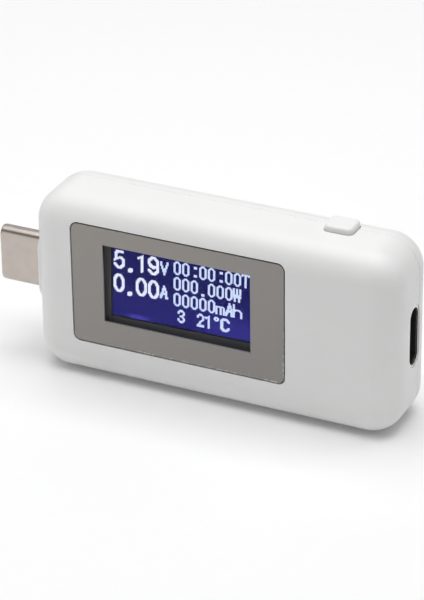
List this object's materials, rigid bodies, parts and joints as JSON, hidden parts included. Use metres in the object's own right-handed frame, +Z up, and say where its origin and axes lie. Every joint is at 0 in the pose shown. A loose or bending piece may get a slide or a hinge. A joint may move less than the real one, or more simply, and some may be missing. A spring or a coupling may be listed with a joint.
{
  "type": "usb power meter",
  "caption": "In-line USB-C power meter: rounded case with a plug at one end, a port at the other, a dot-matrix display behind a window and a push button.",
  "frame": {"origin": "middle of the meter's length and depth, at the height of the narrow face that it stands on", "axes": "+X from the plug to the port, the display faces -Y, +Z up to the button"},
  "size_m": [0.0608, 0.013, 0.0273],
  "materials": {
    "case_white": "fine satin",
    "collar_white": "fine satin",
    "button_white": "fine satin",
    "panel_grey": "semi-gloss printed film",
    "clear_acrylic": "clear acrylic sheet",
    "black_tape": "matte",
    "black_foam": "matte",
    "polariser_film": "smooth film",
    "display_glass": "polished",
    "backlight_white": "diffusing",
    "amber_film": "polyimide film",
    "holder_white": "moulded",
    "board_green": "solder mask on glass-fibre laminate",
    "nickel_steel": "nickel-plated, drawn",
    "port_steel": "nickel-plated, drawn",
    "black_moulding": "moulded",
    "plunger_black": "moulded",
    "gold_contact": "gold-plated",
    "chip_black": "moulded epoxy",
    "ceramic_tan": "fired ceramic",
    "resistor_black": "glazed",
    "tantalum_yellow": "moulded",
    "switch_steel": "pressed sheet",
    "crystal_can": "satin can"
  },
  "bodies": {
    "case": {"front_cover": "case_white", "rear_cover": "case_white", "plug_collar": "collar_white", "display_film": "panel_grey", "display_lens": "clear_acrylic", "lens_adhesive": "black_tape", "display_gasket": "black_foam", "lcd_front_polariser": "polariser_film", "lcd_front_glass": "display_glass", "lcd_rear_glass": "display_glass", "lcd_rear_polariser": "polariser_film", "lcd_driver_chip": "chip_black", "lcd_flex": "amber_film", "backlight_panel": "backlight_white", "backlight_leds": "backlight_white", "display_holder": "holder_white", "main_board": "board_green", "usb_plug_shell": "nickel_steel", "usb_plug_insulator": "black_moulding", "usb_plug_contacts": "gold_contact", "usb_plug_latches": "nickel_steel", "usb_port_shell": "port_steel", "usb_port_insulator": "black_moulding", "usb_port_contacts": "gold_contact", "switch_body": "black_moulding", "switch_skin": "switch_steel", "switch_dome": "switch_steel", "switch_terminals": "switch_steel", "controller_chip": "chip_black", "amplifier_chip": "chip_black", "voltage_regulator": "chip_black", "shunt_resistor": "resistor_black", "crystal": "crystal_can", "thermistor": "resistor_black", "bulk_capacitor": "tantalum_yellow", "capacitors": "ceramic_tan", "resistors": "resistor_black"},
    "button": {"button_cap": "button_white"},
    "plunger": {"switch_plunger": "plunger_black"}
  },
  "joints": [
    {"name": "button_press", "type": "slide", "parent": "case", "child": "button", "axis": [0, 0, -1], "range_m": [0, 0.00025], "stiffness_N_per_m": 1500},
    {"name": "plunger_press", "type": "slide", "parent": "case", "child": "plunger", "axis": [0, 0, -1], "range_m": [0, 0.00025], "stiffness_N_per_m": 1500}
  ],
  "couplings": [
    {"joint": "plunger_press", "follows": "button_press", "ratio": 1}
  ]
}
